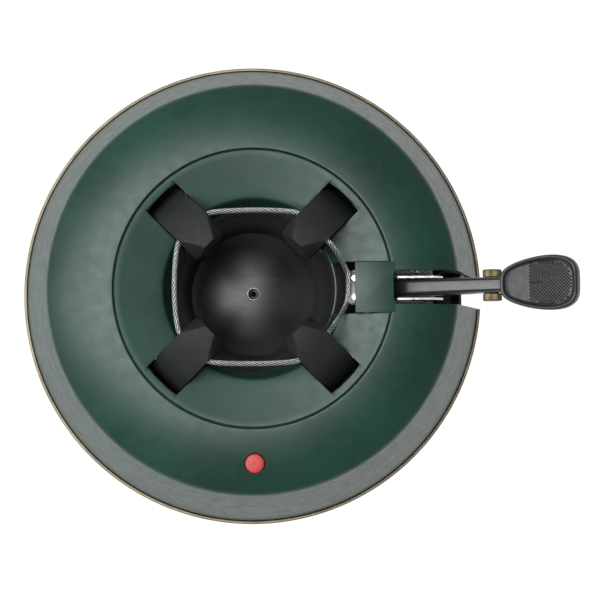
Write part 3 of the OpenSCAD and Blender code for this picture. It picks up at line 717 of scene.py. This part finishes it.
def rope_end(side, height, drop):
    """One end of the rope: from its claw behind the bowl's rim, round a guide post and on to its drum."""
    name, claw_name = ("north", "ne") if side > 0 else ("south", "se")
    lead = [(53.7, 40.3, HOLE_Z), (58, 36, HOLE_Z), (62, 31.6, 150 - drop), (67, 25, 144.5 - drop),
            (71.4, 18.1, 137.5 - drop), (74.6, 11.5, 133 - drop), (75.7, 4.5, 131.3 - drop),
            (75.8, -1.5, height), (75.8, -POST_Y, height)]
    dx, dz = POST_X - SHAFT[0], height - SHAFT[1]
    touch = math.atan2(dz, dx) - math.acos(WINDING_R / math.hypot(dx, dz))
    end = Vector((SHAFT[0] + WINDING_R * math.cos(touch), -POST_Y - TURN_R,
                  SHAFT[1] + WINDING_R * math.sin(touch)))
    bend = [(x, y, height) for x, y in arc((POST_X, -POST_Y), TURN_R, 270, 180, 6)]
    start = Vector(bend[-1])
    run = bend + [tuple(start.lerp(end, i / 6)) for i in range(1, 7)]
    mirrored = [[(x, side * y, z) for x, y, z in route] for route in (lead, run)]
    led = stranded("rope_lead_" + name, mirrored[0])
    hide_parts("cable_lead_" + name)
    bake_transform(led)
    fitted(stranded("rope_run_" + name, mirrored[1]), "root", "cable_run_" + name, slot="wire_rope")
    return touch


def rope_winding(name, side, touch):
    """Three turns of rope on one drum, from the point where the run meets it."""
    turns, near, far = 3, 11.9, 16.2
    route = []
    for t in (i / 24 for i in range(24 * turns + 1)):
        angle = touch - 2 * math.pi * t
        route.append((SHAFT[0] + WINDING_R * math.cos(angle), side * (near + (far - near) * t / turns),
                      SHAFT[1] + WINDING_R * math.sin(angle)))
    made = stranded("rope_wound_" + name, route, step=1.0)
    return fitted(made, "drum", *(["cable_windings"] if side > 0 else []), slot="wire_rope")


# ---- Springs ----
def coiled(name, x, z, radius, wire, turns, from_y, to_y, azimuth=0.0):
    """A coil of spring wire round an axis along Y."""
    steps = int(24 * turns)
    path = []
    for i in range(steps + 1):
        turn = 2 * math.pi * i / 24
        y = from_y + wire + (to_y - from_y - 2 * wire) * i / steps
        path.append(Vector((x + radius * math.cos(turn), y, z + radius * math.sin(turn))))
    rings = []
    for i, point in enumerate(path):
        heading = (path[min(i + 1, steps)] - path[max(i - 1, 0)]).normalized()
        out = Vector((point.x - x, 0, point.z - z)).normalized()
        across = heading.cross(out)
        rings.append([point + wire * (out * math.cos(a) + across * math.sin(a))
                      for a in (math.pi * k / 4 for k in range(8))])
    drawing = placed(lofted(rings), Matrix.Rotation(math.radians(azimuth), 4, "Z"))
    return shaded(piece(name, drawing, OILED_STEEL), 60)


def joined(name, parts):
    """One object from several."""
    first = parts[0]
    with bpy.context.temp_override(active_object=first, selected_editable_objects=parts):
        bpy.ops.object.join()
    first.name = name
    return first


def claw_springs():
    """The torsion springs beside each claw's hub."""
    coils = []
    for azimuth in CLAW_AZIMUTHS.values():
        for side in (1, -1):
            low, high = sorted((side * 9.9, side * 16.0))
            coils.append(coiled("coil", PIVOT_R, PIVOT_Z, 4.8, 0.75, 3.5, low, high, azimuth))
    return fitted(joined("claw_coils", coils), "root", "claw_springs", slot="steel")


def lever_springs():
    """The flat pair of coils that lift the lever."""
    coils = [coiled("coil", SHAFT[0], SHAFT[1], 6.5, 0.42, 1.9, *sorted((side * 2.95, side * 4.65)))
             for side in (1, -1)]
    return fitted(joined("lever_coils", coils), "root", "lever_springs", slot="steel")


def hold_spring():
    """The holding pawl's spring."""
    coils = [coiled("coil", 105.0, 66.0, 3.5, 0.5, 2.9, *sorted((side * 3.5, side * 7.5)))
             for side in (1, -1)]
    return fitted(joined("hold_coils", coils), "root", "hold_pawl_spring", slot="steel")


# ---- Lever, drawn along its own length ----
AT_LEVER = Matrix.Translation((SHAFT[0], 0, SHAFT[1])) @ Matrix.Rotation(math.radians(-LEVER_RISE), 4, "Y")
LEVER_HALF = 7.0
LEVER_TIP_HALF = 5.6
WEB_TOP = 38.3
WEB_T = 2.4


def lever_half(u):
    """Half width of the lever, which tapers towards the pad. Here u runs along the lever and v is height."""
    t = min(max((u - 25) / 70, 0), 1)
    return LEVER_HALF + (LEVER_TIP_HALF - LEVER_HALF) * t


def tapered(drawing, shrink):
    """Narrows a slab that is one unit wide to the lever's own width."""
    for u in (25, 95):
        bmesh.ops.bisect_plane(drawing, geom=drawing.verts[:] + drawing.edges[:] + drawing.faces[:],
                               plane_co=(u, 0, 0), plane_no=(1, 0, 0))
    for vertex in drawing.verts:
        vertex.co.y *= lever_half(vertex.co.x) - shrink
    return drawing


def lever_shoulder(side):
    """What the press tool's rounding leaves off one long edge of the lever, beside the flat strip on top."""
    flat, fall = 3.2, 3.4
    rings = []
    for u in (-20, 25, 95, 160):
        reach = lever_half(u) - flat
        bend = [(flat + reach * math.sin(a), WEB_TOP - fall * (1 - math.cos(a)))
                for a in (math.pi / 2 * i / 10 for i in range(11))]
        beyond = lever_half(u) + 1
        outline = [(beyond, WEB_TOP + 1), (flat, WEB_TOP + 1)] + bend + [(beyond, WEB_TOP - fall)]
        rings.append([(u, side * y, v) for y, v in outline])
    return lofted(rings)


def raised(made):
    """Moves an object that is drawn along the lever to the lever's own place."""
    made.data.transform(Matrix.Scale(MM, 4) @ AT_LEVER @ Matrix.Scale(1 / MM, 4))
    return made


def lever_arm():
    """The pressed channel of the foot lever, with rounded shoulders."""
    eye = arc((0, 0), 12, 104, 260, 26)
    side = eye + [(-11.8, 2), (-3.4, 33), (0, WEB_TOP), (146, WEB_TOP), (146, 31), (70, 20.3), (26, 20.3)]
    made = piece("lever_channel", tapered(slab(side, -1, 1), 0), LEVER_BLACK)
    hollow = [(-40, -40), (-40, 33), (-2, WEB_TOP - WEB_T), (160, WEB_TOP - WEB_T), (160, -40)]
    worked(made, [tapered(slab(hollow, -1, 1), 2.0), bar(0, 0, [(-20, 5.06), (20, 5.06)])]
           + [lever_shoulder(side) for side in (1, -1)])
    softened(made, 0.35, 50)
    return fitted(shaded(raised(made), 30), "pedal", "lever_arm", slot="lever_black")


PAD_FROM, PAD_LEN, PAD_W = 91.5, 62.0, 42.0


def egg_width(c):
    """The pad's half width as a share of its widest, from -1 at the outer end to 1 at the lever's."""
    return max(1 - c * c, 0) ** 0.275 * (1 - 0.2 * c) / 1.033


def egg(inset, height, steps=96):
    """The pad's egg outline at a height, blunt at both ends and widest towards the outer one."""
    ring = []
    for i in range(steps):
        t = 2 * math.pi * i / steps
        wide = (PAD_W / 2 - inset) * math.copysign(egg_width(math.cos(t)), math.sin(t))
        ring.append((PAD_FROM + PAD_LEN / 2 - (PAD_LEN / 2 - inset) * math.cos(t), wide, height))
    return ring


def pedal_pad():
    """The moulded foot pad: a hollow egg-shaped shoe with a rolled rim."""
    levels = [(3.2, WEB_TOP), (3.0, 33.8), (2.4, 33.5), (1.2, 34.2), (0.4, 36.0), (0, 38.5), (0, 42.6),
              (0.15, 43.7), (0.6, 44.5), (1.3, 44.95), (2.1, 44.9), (2.9, 44.5), (3.5, 43.8), (3.9, 43.0)]
    made = piece("pad_shoe", lofted([egg(inset, v) for inset, v in levels]), PAD_RUBBER)
    wide = LEVER_TIP_HALF + 0.7
    worked(made, [prism([(80, -wide), (112, -wide), (112, wide), (80, wide)], 20, WEB_TOP)])
    return fitted(shaded(raised(made), 35), "pedal", "pedal_pad", slot="pad_black")


def pad_height(u, y):
    """The crowned face of the pad."""
    return 45.0 - 1.3 * ((u - 112) / 34) ** 2 - 1.1 * (y / 21) ** 2


def pad_insert():
    """The pad's face: smooth at the heel, and cut with a fine diamond knurl under the ball of the foot."""
    rings = [egg(inset, v) for inset, v in ((4.0, 42.9), (4.0, 43.3))]
    for inset in (4.5, 5.2, 8, 12, 16, 19.5):
        rings.append([(u, y, pad_height(u, y) - (0.25 if inset == 4.5 else 0)) for u, y, _ in egg(inset, 0)])
    drawing = lofted(rings)
    pitch, reach, rise, knurl_from, border = 2.5, 1.17, 0.5, 116.5, 5.6
    half = PAD_LEN / 2
    for row in range(-24, 25):
        for column in range(0, 60):
            u = knurl_from + column * pitch / 2
            y = (row + (column % 2) / 2) * pitch
            t = (PAD_FROM + half - u) / (half - border)
            if abs(t) >= 1 or abs(y) > (PAD_W / 2 - border) * egg_width(t):
                continue
            corners = [(u - reach, y), (u, y - reach), (u + reach, y), (u, y + reach)]
            foot = [drawing.verts.new((x, w, pad_height(x, w) - 0.05)) for x, w in corners]
            tip = drawing.verts.new((u, y, pad_height(u, y) + rise))
            for i in range(4):
                drawing.faces.new((foot[i], foot[(i + 1) % 4], tip))
            drawing.faces.new(foot)
    made = piece("pad_face", placed(drawing, AT_LEVER), PAD_RUBBER)
    return fitted(shaded(made, 20), "pedal", "pad_insert", slot="pad_black")


def lock_catch():
    """The bronze-coloured lock: a ribbed barrel on each side of the lever and the strap that joins them."""
    u, v = 78.0, 24.0
    ribs = 60

    def ribbed(y, radius):
        ring = []
        for k in range(2 * ribs):
            turn, reach = math.pi * k / ribs, radius - 0.16 * (k % 2)
            ring.append((u + reach * math.cos(turn), y, v + reach * math.sin(turn)))
        return ring

    drawing = bmesh.new()
    for side in (1, -1):
        profile = [(6.3, 6.6), (6.9, 7.3), (11.3, 7.5), (12.0, 7.2), (12.4, 6.4)]
        lofted([ribbed(side * y, radius) for y, radius in profile], drawing)
    strap = arc((u, v), 9.5, 164, 196, 8) + arc((u, v), 6.6, 196, 164, 8)
    strap_drawing = slab(strap, -12.2, 12.2)
    made = piece("lock_barrels", drawing, BRONZE_LOCK)
    worked(made, [strap_drawing], "UNION")
    return fitted(shaded(raised(made), 30), "lock_body", "lock_catch", slot="bronze_plastic")


# ---- Water gauge ----
def gauge_cap():
    """The red cap of the water gauge, slightly domed, with a small gate mark in the middle."""
    top = shell_height(FLOAT_Y)
    profile = [(0, -4), (CAP_R - 0.3, -4), (CAP_R, -3.7), (CAP_R, 0.9), (CAP_R - 0.35, 1.35),
               (CAP_R - 1, 1.62), (5.0, 1.9), (3.0, 2.1), (1.2, 2.2), (0.8, 2.15), (0.6, 1.8), (0, 1.8)]
    section = [(r, top + z) for r, z in profile]
    drawing = placed(turned(section, 72), Matrix.Translation((0, -FLOAT_Y, 0)))
    made = piece("gauge_button", drawing, GAUGE_RED)
    return fitted(shaded(made, 35), "float", "float_cap", slot="gauge_red")


# ---- Studio ----
def studio():
    """A light table, soft lights above and to the left, and a camera almost straight above."""
    floor = bmesh.new()
    bmesh.ops.create_grid(floor, x_segments=24, y_segments=24, size=6000)
    piece("light_table", floor, acrylic_light_table())

    lamps = (("key", (-0.5, 0.12, 1.85), 1.3, 40), ("left panel", (-1.38, 0.0, 1.34), 0.6, 10))
    for name, spot, size, power in lamps:
        lamp = bpy.data.lights.new(name, "AREA")
        lamp.shape, lamp.size, lamp.energy = "SQUARE", size, power
        stand = bpy.data.objects.new(name, lamp)
        stand.location = spot
        stand.rotation_euler = (-Vector(spot)).to_track_quat("-Z", "Y").to_euler()
        bpy.context.scene.collection.objects.link(stand)

    world = bpy.data.worlds.new("studio")
    world.use_nodes = True
    world.node_tree.nodes["Background"].inputs["Color"].default_value = srgb("#dfe3e6")
    world.node_tree.nodes["Background"].inputs["Strength"].default_value = 0.22
    bpy.context.scene.world = world
    bpy.context.scene.view_settings.view_transform = "Standard"

    camera = bpy.data.cameras.new("camera")
    camera.sensor_width, camera.lens = 36, 89.6
    holder = bpy.data.objects.new("camera", camera)
    holder.location = (0, -0.056, 1.316)
    back = (Vector(holder.location) - Vector((0.0410, -0.0045, 0))).normalized()
    right = Vector((1, 0, 0))
    right = (right - back * right.dot(back)).normalized()
    facing = Matrix((right, back.cross(right), back)).transposed()
    holder.rotation_euler = (facing @ Matrix.Rotation(math.radians(-0.45), 3, "Z")).to_euler()
    bpy.context.scene.collection.objects.link(holder)
    bpy.context.scene.camera = holder


def build():
    """Every piece of the stand."""
    finish_cad_nodes()
    outer_shell()
    cover_ring()
    trunk_bowl()
    trunk_spike()
    trim_ring()
    for name, azimuth in CLAW_AZIMUTHS.items():
        claw(name, azimuth)
    for name, azimuth, bow in (("north", 0, 2.2), ("west", 90, 3.6), ("south", 180, 1.8)):
        rope_span(name, azimuth, bow)
    for side, height, drop in ((1, CROSS_HIGH, 0), (-1, CROSS_LOW, CROSS_HIGH - CROSS_LOW)):
        touch = rope_end(side, height, drop)
        rope_winding("left" if side < 0 else "right", -side, touch)
    claw_springs()
    lever_springs()
    hold_spring()
    lever_arm()
    pedal_pad()
    pad_insert()
    lock_catch()
    gauge_cap()


studio()
build()
